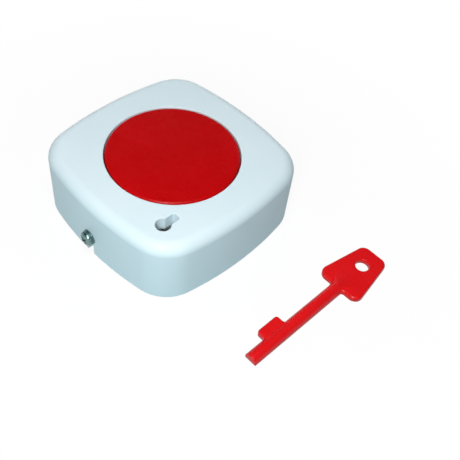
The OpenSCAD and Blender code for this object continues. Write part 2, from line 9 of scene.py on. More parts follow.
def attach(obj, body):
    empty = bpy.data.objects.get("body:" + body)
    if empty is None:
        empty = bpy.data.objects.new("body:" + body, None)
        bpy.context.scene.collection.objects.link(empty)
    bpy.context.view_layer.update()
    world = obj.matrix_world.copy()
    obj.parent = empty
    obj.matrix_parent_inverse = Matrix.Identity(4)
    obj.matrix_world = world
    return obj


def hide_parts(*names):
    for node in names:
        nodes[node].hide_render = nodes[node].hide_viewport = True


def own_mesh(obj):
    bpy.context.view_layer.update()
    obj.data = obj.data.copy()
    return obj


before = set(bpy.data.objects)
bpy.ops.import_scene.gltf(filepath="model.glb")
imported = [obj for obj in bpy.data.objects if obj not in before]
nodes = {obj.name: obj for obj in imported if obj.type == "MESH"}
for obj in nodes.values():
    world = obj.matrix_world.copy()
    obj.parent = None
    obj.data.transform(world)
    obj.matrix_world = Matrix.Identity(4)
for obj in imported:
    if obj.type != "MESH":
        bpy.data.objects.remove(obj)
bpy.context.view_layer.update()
scene = bpy.context.scene

# Sizes of the pieces are in millimetres, and their meshes in metres. Points nearer than MERGED are made one,
# edges shorter than SLIVER go, and edges that turn by more than SHARP stay sharp
MM = 0.001
MERGED, SLIVER, SHARP = 2e-6, 1e-7, np.radians(32)

# Cover: its outline, walls, foot and button hole
HALF, HEIGHT = 34.0, 24.0
CORNER_R, SIDE_R, EDGE_R = 13.5, 115.0, 4.0
WALL, TOP_WALL = 2.2, 2.7
FOOT_OUT, FOOT_IN = 0.3, 0.2
HOLE_R, HOLE_LIP = 22.3, 0.35
CEILING = HEIGHT - TOP_WALL
SIDE_OFF = SIDE_R - HALF
ARC_OFF = SIDE_R - CORNER_R
CORNER_C = (np.sqrt(2 * ARC_OFF**2 - SIDE_OFF**2) - SIDE_OFF) / 2
TURN = np.arctan2(CORNER_C, CORNER_C + SIDE_OFF)

# Columns of the cover's mesh on each side, round each corner and in each hook pocket, the least turn between
# a pocket or patch and its neighbours, and the rows on the flat top
SIDE_COLUMNS, CORNER_COLUMNS, HOOK_COLUMNS, LEAST_TURN = 25, 48, 5, 0.002
TOP_ROWS = 18

# Keyhole: centre, radius, slot, rounding of its edge, how far up the slot the point lies that its outline is
# drawn from, the power that rounds the slot's corners, and the collar around it
KEYHOLE = np.array([20.7, -22.3])
KEYHOLE_R, SLOT_HALF, SLOT_END, KEYHOLE_LIP = 2.45, 1.45, 5.5, 0.25
KEYHOLE_SHIFT, SLOT_POWER = 1.3, 7
COLLAR_LOW, COLLAR_WALL, COLLAR_CHAMFER = 19.0, 1.0, 0.15

# Patch of the flat top that is left open for the keyhole: its rows, its bearings, and the rings that fill it
OPEN_ROWS, OPEN_BEARINGS, OPEN_RINGS = (2, 17), np.radians([-62, -29]), 7

# Notch of the cover screw in the front wall, the patch of wall around it, and the steps from one to the other
SCREW_X, SCREW_Z, NOTCH_HALF = -0.8, 7.6, 1.55
PATCH_HALF, PATCH_TOP, PATCH_COLUMNS = 6.0, 11.0, 13
NOTCH_STEPS = np.array([0, 0.12, 0.35, 0.65, 1])

# Heights of the wall's rows, twice where a hook pocket begins and ends, the first and the last of them in the
# pocket, and the pocket's sides and end
UPPER_LEVELS = np.array([17.0, 14.0])
WALL_LEVELS = np.array([PATCH_TOP, 9.5, 8, 6.5, 5.8, 5.8, 5, 3.8, 3.8, 3, 2])
HOOK_LEVELS = (5, 7)
HOOK_EDGES, HOOK_END = np.array([9.2, 14.8]), 32.3

# Push button: face, flange, pocket under the face and guide pins
BUTTON_R, BUTTON_TOP, BUTTON_RIM, BUTTON_COLUMNS = 21.9, 24.0, 0.8, 192
FACE_RINGS = (0, 7, 14, 19)
FLANGE_R, FLANGE_LOW, FLANGE_TOP, FLANGE_ROUND = 23.7, 19.6, 21.2, 0.2
POCKET_R, POCKET_TOP, POCKET_RING = 17.5, 21.3, 8.0
GUIDE_XY, GUIDE_R, GUIDE_LOW, GUIDE_ROUND, GUIDE_COLUMNS = 14.566, 1.3, 6.5, 0.3, 32
CORNERS = [(x, y) for x in (-GUIDE_XY, GUIDE_XY) for y in (-GUIDE_XY, GUIDE_XY)]

# Switch pad and latch leg of the button: outlines of x and z, and the stretch of y that each fills
PAD = np.array([[-2.8, 20.1], [2.8, 20.1], [2.8, 21.5], [-2.8, 21.5]])
PAD_Y = (6.707, 10.707)
LEG = np.array([[0.417, 12], [2.25, 12], [2.25, 19.9], [-0.05, 19.9], [-0.05, 16], [-2.25, 16]])
LEG_Y = (-23.1, -20.1)

# Reset key: its tip, the angle it lies at, and its shaft along its own axis, on a flat back
KEY_TIP, KEY_ANGLE = np.array([62.3, -24.2, 0.0]), np.radians(-0.6)
SHAFT_R, SHAFT_TOP, SHOULDER, KEY_L = 2.25, 2.9, 39.8, 60.0
SHAFT_AXIS, SHAFT_CORNER = SHAFT_TOP - SHAFT_R, 0.2
TIP_ROUND, SHAFT_FROM, SHAFT_ROWS = 0.25, 2.0, 24

# Bow of the key: its outline, its ring hole, and the upper and lower rounding of the edges of both
BOW_HALF, BOW_END_HALF, BOW_R, BOW_T = 8.05, 5.55, 2.9, 2.0
BOW_FILLET, BOW_NECK, BOW_STEP, BOW_EDGE, BOW_ROWS = 1.1, SHAFT_R - 0.15, 0.6, (0.75, 0.3), 7
RING_Y, RING_R, RING_EDGE = 52.7, 2.3, (0.45, 0.3)

# Swell of the shaft on the bow: where it starts, how far it runs out, how far before that it sinks already,
# how far its section takes to change, how much wider it gets, and how deep its edge and end lie in the bow
SWELL_START, SWELL_RUN, SWELL_LEAD, SWELL_CHANGE = SHOULDER - 0.6, 10.0, 6.0, 4.0
SWELL_WIDER, SWELL_EDGE, SWELL_END, SWELL_ROWS = 0.9, 0.1, 0.05, 30

# Bit of the key: its outline, the line inside the shaft that its rungs go to, how much they draw together for
# each millimetre, and how much of its height it loses at its fillets
BIT_LOW, BIT_HIGH, BIT_REACH, BIT_R, BIT_T = 7.9, 16.6, 5.2, 1.0, 2.5
BIT_FILLET, BIT_ROOT, BIT_STEP, BIT_EDGE = 1.2, -1.6, 0.3, (0.6, 0.25)
BIT_HOME, BIT_GATHER, BIT_SINK = -0.4, 0.133, 0.15

# Cover screw: pan head, cross recess in the square crown of the head, threaded shank with its narrow point
HEAD_BASE, HEAD_R, HEAD_H, HEAD_ROUND, HEAD_CHAMFER = -34.5, 2.45, 1.8, 1.08, 0.1
HEAD_ROWS, HEAD_RING = 13, 0.95
RECESS_HALF, RECESS_MIDDLE, RECESS_REACH, RECESS_DEEP, CROWN_HALF = 0.3, 0.9, 1.45, 0.99, 1.6
SCREW_R, SCREW_END, SCREW_UNDER = 1.25, -25.9, 0.2
THREAD_PITCH, THREAD_DEEP, THREAD_ROWS, THREAD_COLUMNS = 0.45, 0.27, 8, 24
POINT_RUN, POINT_LEAD, POINT_LEAST = 0.5, 0.05, 0.55

# Washer of the cover screw: size, play on the shank, and rounding outside and in its bore
WASHER_R, WASHER_T, WASHER_PLAY, WASHER_COLUMNS = 2.7, 0.5, 0.1, 64
WASHER_OUT, WASHER_IN = 0.12, 0.08

# Springs: radius, wire and stretch of the four under the button and of the one at the latch, and its place
COIL_TURNS, COIL_STEPS, WIRE_COLUMNS = 5, 32, 10
SPRING_R, SPRING_WIRE, SPRING_LOW, SPRING_HIGH = 2.2, 0.3, 9.45, 19.15
LATCH_R, LATCH_WIRE, LATCH_LOW, LATCH_HIGH = 1.95, 0.25, 0.4, 7.6
LATCH_X, LATCH_Y, LATCH_Z = -22.2, -21.6, 13.75


def grid(points, wrap=True, keep=None):
    """Sheet of quads between neighbouring points of a grid, rows by columns. wrap joins the last column to
    the first, and keep says which quads stay."""
    rows, cols = points.shape[:2]
    r, c = np.meshgrid(np.arange(rows - 1), np.arange(cols if wrap else cols - 1), indexing="ij")
    n = (c + 1) % cols
    faces = np.stack([r * cols + c, r * cols + n, (r + 1) * cols + n, (r + 1) * cols + c], -1)
    return points.reshape(-1, 3), faces.reshape(-1, 4) if keep is None else faces[keep]


def at_height(plan, z):
    """Points of a plan lifted to the height z."""
    return np.insert(plan, 2, z, -1)


def arc(cx, cy, r, start, end, steps=6):
    """Points on a circle of radius r about (cx, cy), from the start angle to the end angle in degrees."""
    a = np.radians(np.linspace(start, end, steps + 1))
    return np.stack([cx + r * np.cos(a), cy + r * np.sin(a)], -1)


def quarter_round(steps):
    """Way inwards and way down of a quarter circle of radius 1, from its flat top to its upright end."""
    b = np.linspace(0, np.pi / 2, steps + 1)
    return 1 - np.sin(b), 1 - np.cos(b)


def carried(profile, spokes):
    """Profile of radius and height carried round: x and y are the radius times each spoke of length 1."""
    plan = profile[:, :1, None] * spokes
    return np.concatenate([plan, np.broadcast_to(profile[:, 1:, None], plan.shape[:2] + (1,))], -1)


def spun(profile, columns, centre=(0, 0)):
    """Profile of radius and height turned about an upright axis through the centre: x and y are the radius
    times the cosine and the sine of the turn."""
    a = np.linspace(0, 2 * np.pi, columns, endpoint=False)
    return carried(profile, np.stack([np.cos(a), np.sin(a)], -1)) + [*centre, 0]


def prism(outline, low, high):
    """Outline of x and z carried straight along y from low to high, closed by a flat face at each end."""
    ends = np.stack([np.insert(outline, 1, y, -1) for y in (low, high)])
    return [grid(ends), (ends.reshape(-1, 3), np.arange(2 * len(outline)).reshape(2, -1))]


def coil(centre, axis, radius, wire, low, high):
    """Round wire carried along a helix: the path turns about the axis while it climbs from low to high, and
    each ring of the wire lies in the plane of the outward and the axial direction."""
    a = np.linspace(0, 2 * np.pi * COIL_TURNS, COIL_STEPS * COIL_TURNS + 1)[:, None]
    b = np.linspace(0, 2 * np.pi, WIRE_COLUMNS, endpoint=False)
    r = radius + wire * np.cos(b)
    along = low + (high - low) * a / a[-1] + wire * np.sin(b)
    across = [r * np.cos(a), r * np.sin(a)]
    points = np.stack([*across, along] if axis == "z" else [along, *across], -1) + centre
    caps = [np.stack([points[k], np.repeat(points[k].mean(0)[None], WIRE_COLUMNS, 0)]) for k in (0, -1)]
    return [grid(points), grid(caps[0]), grid(caps[1])]


def piece(name, sheets, body, replaced, slot, flat=True):
    """Object made of sheets whose matching edges are merged, riding on a body in place of a CAD node. flat
    keeps the shading of flat faces level up to their rounded edges."""
    starts = np.cumsum([0] + [len(points) for points, _ in sheets[:-1]])
    points = np.concatenate([points for points, _ in sheets]) * MM
    faces = [face for (_, numbers), start in zip(sheets, starts) for face in (numbers + start).tolist()]
    mesh = bpy.data.meshes.new(name)
    mesh.from_pydata(points.tolist(), [], faces)
    joined = bmesh.new()
    joined.from_mesh(mesh)
    bmesh.ops.remove_doubles(joined, verts=joined.verts, dist=MERGED)
    bmesh.ops.dissolve_degenerate(joined, edges=joined.edges, dist=SLIVER)
    bmesh.ops.recalc_face_normals(joined, faces=joined.faces)
    joined.to_mesh(mesh)
    joined.free()
    mesh.shade_smooth()
    mesh.set_sharp_from_angle(angle=SHARP)
    mesh.materials.append(FINISH[slot])
    made = bpy.data.objects.new(name, mesh)
    scene.collection.objects.link(made)
    if flat:
        made.modifiers.new("flat_faces_stay_flat", "WEIGHTED_NORMAL").keep_sharp = True
    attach(made, body)
    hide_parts(replaced)
    return made


def none_of(part):
    """Mask that picks none of the entries of a part."""
    return np.zeros(len(part), bool)


def outline_columns():
    """Columns of the bulged outline, anticlockwise from the back side: each has the centre, radius and
    direction of its arc, and whether it is in a hook pocket and in the patch of the screw notch. The columns
    at the edges of the hook pockets come twice, so that the wall can step there."""
    edges = np.arcsin(HOOK_EDGES / (SIDE_R - WALL))
    hook = np.linspace(edges[0], edges[1], HOOK_COLUMNS)
    hook = np.concatenate([hook[:1], hook, hook[-1:]])
    hook_in = np.array([False] + [True] * HOOK_COLUMNS + [False])
    block = np.arcsin(np.linspace(-PATCH_HALF, PATCH_HALF, PATCH_COLUMNS) / SIDE_R)
    corner = TURN + (np.pi / 2 - 2 * TURN) * np.arange(1, CORNER_COLUMNS) / CORNER_COLUMNS
    back, left, front, right = 1, 2, 3, 0
    parts = []
    for quarter in (back, left, front, right):
        side = np.linspace(-TURN, TURN, SIDE_COLUMNS)
        pocket, patch = none_of(side), none_of(side)
        if quarter == back:
            far, near = side[side > edges[1] + LEAST_TURN], side[np.abs(side) < edges[0] - LEAST_TURN]
            side = np.concatenate([-far[::-1], -hook[::-1], near, hook, far])
            pocket = np.concatenate([none_of(far), hook_in, none_of(near), hook_in, none_of(far)])
            patch = none_of(side)
        if quarter == front:
            far = side[side > block[-1] + LEAST_TURN]
            side = np.concatenate([-far[::-1], block, far])
            pocket = none_of(side)
            patch = np.concatenate([none_of(far), ~none_of(block), none_of(far)])
        turn = np.concatenate([side, corner]) + quarter * np.pi / 2
        home = np.array([[-SIDE_OFF, 0.0]] * len(side) + [[CORNER_C, CORNER_C]] * len(corner))
        c, s = np.cos(quarter * np.pi / 2), np.sin(quarter * np.pi / 2)
        parts.append((home @ np.array([[c, s], [-s, c]]),
                      np.array([SIDE_R] * len(side) + [CORNER_R] * len(corner)),
                      np.stack([np.cos(turn), np.sin(turn)], -1),
                      np.concatenate([pocket, none_of(corner)]), np.concatenate([patch, none_of(corner)])))
    return [np.concatenate(part) for part in zip(*parts)]


def front_wall(s, z, inset):
    """Points of the bulged front wall: s is the way across from its middle, measured on its outer face, and
    inset the depth in it."""
    a = np.arcsin(s / SIDE_R)
    r = SIDE_R - inset
    return np.stack(np.broadcast_arrays(r * np.sin(a), SIDE_OFF - r * np.cos(a), z), -1)


def notch_band(inset, foot):
    """Band of the front wall between the screw notch, two upright edges under a half circle, and the edge of
    the patch left open for it: straight lines join the points of the two."""
    levels = np.append(WALL_LEVELS, foot)
    across = np.linspace(-PATCH_HALF, PATCH_HALF, PATCH_COLUMNS)[1:-1]
    up = foot + (SCREW_Z - foot) * (levels - foot) / (PATCH_TOP - foot)
    turn = np.linspace(np.pi, 0, PATCH_COLUMNS)[1:-1]
    rim_s = np.concatenate([0 * levels - PATCH_HALF, across, 0 * levels + PATCH_HALF])
    rim_z = np.concatenate([levels[::-1], 0 * across + PATCH_TOP, levels])
    slot_s = SCREW_X + np.concatenate([0 * up - NOTCH_HALF, NOTCH_HALF * np.cos(turn), 0 * up + NOTCH_HALF])
    slot_z = np.concatenate([up[::-1], SCREW_Z + NOTCH_HALF * np.sin(turn), up])
    t = NOTCH_STEPS[:, None]
    return front_wall(slot_s + (rim_s - slot_s) * t, slot_z + (rim_z - slot_z) * t, inset)


def notch_sheets(foot):
    """Bands around the screw notch on both faces of the wall, the notch's own wall between them, and the foot
    on both sides of the notch, its section closed there by a fan."""
    outer, inner = notch_band(0, FOOT_OUT), notch_band(WALL, FOOT_IN)
    sheets = [grid(band, wrap=False) for band in (outer, inner, np.stack([outer[0], inner[0]]))]
    for side in (-1, 1):
        edge = SCREW_X + side * NOTCH_HALF
        s = edge + (side * PATCH_HALF - edge) * NOTCH_STEPS
        strip = front_wall(s, foot[:, 1:], foot[:, :1])
        fan = np.stack([strip[:, 0], np.repeat(strip[:1, 0], len(foot), 0)])
        sheets += [grid(strip, wrap=False), grid(fan, wrap=False)]
    return sheets


def keyhole_loop(rays, grow):
    """Keyhole outline drawn out by grow: along each ray the greater of the way to the circle and the way to
    the slot, a rectangle with round corners. The ray nearest to each edge between them is turned to it."""
    r, half = KEYHOLE_R + grow, SLOT_HALF + grow
    neck = np.sqrt(r**2 - half**2) - KEYHOLE_SHIFT
    rays = rays.copy()
    for edge in np.arctan2(neck, np.array([half, -half])):
        rays[np.argmin(np.abs(rays - edge))] = edge
    dx, dy = np.cos(rays), np.sin(rays)
    lift = dy * KEYHOLE_SHIFT
    to_circle = np.sqrt(lift**2 + r**2 - KEYHOLE_SHIFT**2) - lift
    end = np.where(dy > 0, SLOT_END - KEYHOLE_SHIFT + grow, KEYHOLE_SHIFT)
    to_slot = ((np.abs(dx) / half)**SLOT_POWER + (np.abs(dy) / end)**SLOT_POWER)**(-1 / SLOT_POWER)
    way = np.maximum(to_circle, to_slot)
    return KEYHOLE + np.stack([way * dx, way * dy + KEYHOLE_SHIFT], -1)


def skin_sheets(centre, radius, direction, pocket, patch):
    """Skin of the cover: a section, with the rounded top edge, wall, foot and inner wall, carried round the
    columns of the outline, deeper in the hook pockets and open where the screw notch is set in."""
    inwards, down = quarter_round(16)
    top_edge = np.stack([EDGE_R * inwards, HEIGHT - EDGE_R * down], -1)
    levels = np.concatenate([UPPER_LEVELS, WALL_LEVELS])
    foot = np.concatenate([arc(FOOT_OUT, FOOT_OUT, FOOT_OUT, 180, 270, 4),
                           arc(WALL - FOOT_IN, FOOT_IN, FOOT_IN, 270, 360, 4)])
    inner_edge = arc(EDGE_R, CEILING - EDGE_R + WALL, EDGE_R - WALL, 180, 90, 8)
    section = np.concatenate([top_edge, np.stack([0 * levels, levels], -1), foot,
                              np.stack([0 * levels + WALL, levels[::-1]], -1), inner_edge])
    row_out = len(top_edge) + len(UPPER_LEVELS)
    row_in = row_out + 2 * len(WALL_LEVELS) + len(foot) - 1
    pocket_rows = none_of(section)
    pocket_rows[row_in - HOOK_LEVELS[1]:row_in - HOOK_LEVELS[0] + 1] = True
    # A pocket ends on a plane square to y. The other sides have none, and their lean is only kept above zero
    lean = np.maximum(direction[:, 1], 0.5)
    pocket_inset = SIDE_R - (HOOK_END + SIDE_OFF) / lean
    inset = np.where(pocket_rows[:, None] & pocket, pocket_inset, section[:, :1])
    plan = centre + (radius - inset)[..., None] * direction
    skin = np.concatenate([plan, np.broadcast_to(section[:, 1:, None], inset.shape + (1,))], -1)
    keep = np.ones((len(section) - 1, len(radius)), bool)
    first, last = np.flatnonzero(patch)[[0, -1]]
    keep[row_out:row_in, first:last] = False
    return [grid(skin, keep=keep)] + notch_sheets(foot)


def top_sheets(centre, radius, direction):
    """Flat top and ceiling of the cover: straight lines from the skin to the button's hole, with the keyhole
    set into a patch of them, the rounded wall of the hole, and the collar, the keyhole's loop carried down
    and back up."""
    ring = centre + (radius - EDGE_R)[:, None] * direction
    bearing = np.arctan2(ring[:, 1], ring[:, 0])
    spoke = np.stack([np.cos(bearing), np.sin(bearing)], -1)
    flat = ring + ((HOLE_R + HOLE_LIP) * spoke - ring) * np.linspace(0, 1, TOP_ROWS + 1)[:, None, None]
    outer, inner = OPEN_ROWS
    first, last = np.flatnonzero((bearing > OPEN_BEARINGS[0]) & (bearing < OPEN_BEARINGS[1]))[[0, -1]]
    keep = np.ones((TOP_ROWS, len(ring)), bool)
    keep[outer:inner, first:last] = False
    rim = np.concatenate([flat[outer, first:last], flat[outer:inner, last],
                          flat[inner, last:first:-1], flat[inner:outer:-1, first]])
    seen = rim - KEYHOLE - [0, KEYHOLE_SHIFT]
    rays = np.arctan2(seen[:, 1], seen[:, 0])
    sheets = []
    for z, grow in ((HEIGHT, KEYHOLE_LIP), (CEILING, COLLAR_WALL)):
        edge = keyhole_loop(rays, grow)
        around = edge + (rim - edge) * np.linspace(0, 1, OPEN_RINGS)[:, None, None]
        sheets += [grid(at_height(flat, z), keep=keep), grid(at_height(around, z))]

    inwards, down = quarter_round(5)
    hole = np.stack([HOLE_R + HOLE_LIP * np.append(inwards, [0, 1]),
                     np.append(HEIGHT - HOLE_LIP * down, [CEILING, CEILING])], -1)
    sheets.append(grid(carried(hole, spoke)))
    grows = np.concatenate([KEYHOLE_LIP * inwards, [0, COLLAR_CHAMFER, COLLAR_WALL - COLLAR_CHAMFER],
                            [COLLAR_WALL, COLLAR_WALL]])
    heights = np.concatenate([HEIGHT - KEYHOLE_LIP * down,
                              COLLAR_LOW + COLLAR_CHAMFER * np.array([1, 0, 0, 1]), [CEILING]])
    loops = [at_height(keyhole_loop(rays, grow), z) for grow, z in zip(grows, heights)]
    sheets.append(grid(np.stack(loops)))
    return sheets


def cover_sheets():
    """Cover: its skin, carried round the bulged outline, and its flat top and ceiling."""
    centre, radius, direction, pocket, patch = outline_columns()
    return skin_sheets(centre, radius, direction, pocket, patch) + top_sheets(centre, radius, direction)


def button_sheets():
    """Button: a profile with the rounded rim, the flange and the pocket under the face, turned about its
    axis; four turned guide pins, and the switch pad and the latch leg as outlines carried along y."""
    flange_out, pin_top = FLANGE_R - FLANGE_ROUND, FLANGE_LOW + GUIDE_ROUND
    profile = np.concatenate([[[r, BUTTON_TOP] for r in FACE_RINGS],
                              arc(BUTTON_R - BUTTON_RIM, BUTTON_TOP - BUTTON_RIM, BUTTON_RIM, 90, 0, 8),
                              [[BUTTON_R, FLANGE_TOP]],
                              arc(flange_out, FLANGE_TOP - FLANGE_ROUND, FLANGE_ROUND, 90, 0, 3),
                              arc(flange_out, FLANGE_LOW + FLANGE_ROUND, FLANGE_ROUND, 0, -90, 3),
                              [[POCKET_R, FLANGE_LOW], [POCKET_R, POCKET_TOP]],
                              [[POCKET_RING, POCKET_TOP], [0, POCKET_TOP]]])
    pin = np.concatenate([[[0, GUIDE_LOW]],
                          arc(GUIDE_R - GUIDE_ROUND, GUIDE_LOW + GUIDE_ROUND, GUIDE_ROUND, -90, 0, 4),
                          [[GUIDE_R, pin_top], [0, pin_top]]])
    pins = [grid(spun(pin, GUIDE_COLUMNS, corner)) for corner in CORNERS]
    return [grid(spun(profile, BUTTON_COLUMNS))] + pins + prism(PAD, *PAD_Y) + prism(LEG, *LEG_Y)


def inward(loop, depth):
    """Closed anticlockwise outline drawn in by depth, square to the line between each point's neighbours."""
    along = np.roll(loop, -1, 0) - np.roll(loop, 1, 0)
    along /= np.linalg.norm(along, axis=1)[:, None]
    return loop + depth * np.stack([-along[:, 1], along[:, 0]], -1)


def between(points, step):
    """Closed outline with more points put on its longer stretches, so that none is longer than step."""
    ends = np.roll(points, -1, 0)
    counts = np.maximum(np.ceil(np.linalg.norm(ends - points, axis=1) / step).astype(int), 1)
    which = np.repeat(np.arange(len(points)), counts)
    share = (np.arange(len(which)) - np.repeat(np.cumsum(counts) - counts, counts)) / counts[which]
    return points[which] + (ends - points)[which] * share[:, None]


def edge_rows(thick, rounds, steps=6):
    """Inset and height of a plate's edge from its top face to its bottom face, rounded at both."""
    over, under = rounds
    return np.concatenate([arc(over, thick - over, over, 90, 180, steps),
                           arc(under, under, under, 180, 270, steps)])


def soft_step(t):
    """Rise from 0 to 1 as t goes from 0 to 1, level at both ends."""
    t = np.clip(t, 0, 1)
    return t * t * (3 - 2 * t)


def bow_sheets():
    """Bow of the key: a rounded edge that follows its outline, and straight lines from there to the rounded
    edge of the ring hole, below and above."""
    near = (BOW_HALF - BOW_R, SHOULDER + BOW_R)
    far = (BOW_END_HALF - BOW_R, KEY_L - BOW_R)
    lean = np.degrees(np.arctan2(near[0] - far[0], far[1] - near[1]))
    inner_end = SHOULDER - BOW_FILLET
    right = np.concatenate([arc(0, inner_end, BOW_NECK, -85, 0, 8)[:-1],
                            arc(BOW_NECK + BOW_FILLET, inner_end, BOW_FILLET, 180, 90, 8),
                            arc(*near, BOW_R, -90, lean, 14), arc(*far, BOW_R, lean, 90, 12)])
    bow = between(np.concatenate([right, right[::-1] * [-1, 1]]), BOW_STEP)
    ring = np.array([0, RING_Y])
    spoke = (bow - ring) / np.linalg.norm(bow - ring, axis=1)[:, None]
    outer_edge, ring_edge = edge_rows(BOW_T, BOW_EDGE), edge_rows(BOW_T, RING_EDGE, 4)[::-1]
    outside = np.stack([at_height(inward(bow, k), z) for k, z in outer_edge])
    inside = np.stack([at_height(ring + (RING_R + k) * spoke, z) for k, z in ring_edge])
    t = np.linspace(0, 1, BOW_ROWS + 1)[1:, None, None]
    under = outside[-1] + (inside[0] - outside[-1]) * t[:-1]
    over = inside[-1] + (outside[0] - inside[-1]) * t
    return [grid(np.concatenate([outside, under, inside, over]))]


def bit_sheets():
    """Bit of the key: a rounded edge follows its outline, with a fillet at each end, and a line inside the
    shaft. Straight rungs from each point of the outline to its point on the line fill the top and bottom."""
    root, left = BIT_ROOT - BIT_FILLET, BIT_R - BIT_REACH
    way = np.concatenate([arc(root, BIT_HIGH + BIT_FILLET, BIT_FILLET, 0, -90, 8),
                          arc(left, BIT_HIGH - BIT_R, BIT_R, 90, 180, 8),
                          arc(left, BIT_LOW + BIT_R, BIT_R, 180, 270, 8),
                          arc(root, BIT_LOW - BIT_FILLET, BIT_FILLET, 90, 0, 8)])
    way = between(way, BIT_STEP)
    way = way[:np.argmin(np.hypot(*(way - [BIT_ROOT, BIT_LOW - BIT_FILLET]).T)) + 1]
    n, middle = len(way), (BIT_LOW + BIT_HIGH) / 2
    gather = 1 - BIT_GATHER * (BIT_ROOT - way[:, 0])
    home = np.stack([0 * gather + BIT_HOME, middle + (way[:, 1] - middle) * gather], -1)[::-1]
    loop = np.concatenate([way, home])
    edge = np.stack([at_height(inward(loop, k), z) for k, z in edge_rows(BIT_T, BIT_EDGE)])
    past_end = np.maximum(BIT_LOW - way[:, 1], way[:, 1] - BIT_HIGH)
    sink = 1 - BIT_SINK * soft_step(past_end / BIT_FILLET)
    edge[..., 2] *= np.concatenate([sink, sink[::-1]])
    rungs = [np.stack([row[:n], row[:n - 1:-1]]) for row in (edge[0], edge[-1])]
    return [grid(edge)] + [grid(pair, wrap=False) for pair in rungs]


def shaft_section():
    """Section of the key's shaft, across and up: a circle cut off by the flat back, with rounded corners."""
    r = SHAFT_CORNER
    out = np.sqrt((SHAFT_R - r)**2 - (SHAFT_AXIS - r)**2)
    dip = np.degrees(np.arctan2(SHAFT_AXIS - r, out))
    across = np.linspace(-out, out, 9)[1:-1]
    return np.concatenate([arc(0, SHAFT_AXIS, SHAFT_R, -dip, 180 + dip, 60),
                           arc(-out, r, r, 180 + dip, 270, 4)[1:],
                           np.stack([across, 0 * across], -1), arc(out, r, r, -90, -dip, 4)[:-1]])


def shaft_sheets():
    """Shaft of the key: its section carried from the rounded tip to the bow, where it turns into a low swell
    with a parabola for its section, whose crown sinks until it runs out inside the bow."""
    tip = arc(TIP_ROUND, TIP_ROUND, TIP_ROUND, 270, 180, 5)
    straight = np.linspace(SHAFT_FROM, SWELL_START, SHAFT_ROWS)
    run = SWELL_START + SWELL_RUN * np.linspace(0, 1, SWELL_ROWS + 1)[1:]
    y = np.concatenate([[0], tip[:, 1], straight, run, run[-1:]])[:, None]
    size = np.concatenate([[0], 1 - tip[:, 0] / SHAFT_R, np.ones(SHAFT_ROWS + SWELL_ROWS), [0]])[:, None]
    x, z = shaft_section().T
    fade = soft_step((y - SWELL_START + SWELL_LEAD) / (SWELL_RUN + SWELL_LEAD))
    change = soft_step((y - SWELL_START) / SWELL_CHANGE)
    side = BOW_T - SWELL_EDGE
    crown = SHAFT_TOP - (SHAFT_TOP - BOW_T + SWELL_END) * fade
    arch = side + (crown - side) * (np.maximum(z - SHAFT_AXIS, 0) / SHAFT_R)**2
    swell = np.where(z > SHAFT_AXIS, arch, SWELL_EDGE + (side - SWELL_EDGE) * z / SHAFT_AXIS)
    wide = size * x * (1 + SWELL_WIDER * change)
    middle = SHAFT_TOP / 2
    tall = middle + size * (z + (swell - z) * change - middle)
    return [grid(np.stack([wide, y + 0 * x, tall], -1))]


def key_sheets():
    """Key: its shaft, bow and bit, drawn along y from the tip, turned about the tip and laid in place."""
    c, s = np.cos(KEY_ANGLE), np.sin(KEY_ANGLE)
    lie = np.array([[c, s, 0], [-s, c, 0], [0, 0, 1]])
    return [(points @ lie + KEY_TIP, faces) for points, faces in shaft_sheets() + bow_sheets() + bit_sheets()]


def toward_front(sheets):
    """Turned sheets whose height becomes the way out of the front wall, about the axis of the cover screw."""
    return [(np.stack([SCREW_X + points[:, 0], HEAD_BASE - points[:, 2], SCREW_Z + points[:, 1]], -1), faces)
            for points, faces in sheets]


def head_height(r):
    """Height of the screw's pan head over its base at radius r: flat, then a quarter circle."""
    past = np.clip(r - HEAD_R + HEAD_ROUND, 0, HEAD_ROUND)
    return HEAD_H - HEAD_ROUND + np.sqrt(np.maximum(HEAD_ROUND**2 - past**2, 0))


def head_sheets():
    """Pan head: its cross recess is a square grid of heights whose lines come twice where the depth steps,
    turned by an eighth and set in a rim that goes out from the square's edge along the curve of the head."""
    half = np.array([RECESS_HALF, RECESS_HALF, RECESS_MIDDLE, RECESS_REACH, RECESS_REACH, CROWN_HALF])
    line = np.concatenate([-half[::-1], [0], half])
    # Of two lines in one place, the first and second or the fourth and fifth, the inner one is in the recess
    from_middle = np.abs(np.arange(len(line)) - len(half))
    slim, arm = from_middle <= 1, from_middle <= 4
    cut = (arm[:, None] & slim) | (slim[:, None] & arm)
    u, v = np.meshgrid(line, line, indexing="ij")
    height = np.where(cut, HEAD_H - RECESS_DEEP, head_height(np.hypot(u, v)))
    c = np.sqrt(0.5)
    crown = np.stack([(u - v) * c, (u + v) * c, height], -1)
    rim = np.concatenate([crown[0, :-1], crown[:-1, -1], crown[-1, :0:-1], crown[:0:-1, 0]])
    turn = np.arctan2(rim[:, 1], rim[:, 0])
    spoke = np.stack([np.cos(turn), np.sin(turn)], -1)
    reach = np.hypot(rim[:, 0], rim[:, 1])
    r = reach + (HEAD_R - reach) * np.sin(np.linspace(0, np.pi / 2, HEAD_ROWS + 1)[:, None])
    shell = np.concatenate([r[..., None] * spoke, head_height(r)[..., None]], -1)
    skirt = np.array([[HEAD_R, HEAD_CHAMFER], [HEAD_R - HEAD_CHAMFER, 0], [HEAD_RING, 0], [0, 0]])
    return [grid(crown, wrap=False), grid(np.concatenate([shell, carried(skirt, spoke)]))]


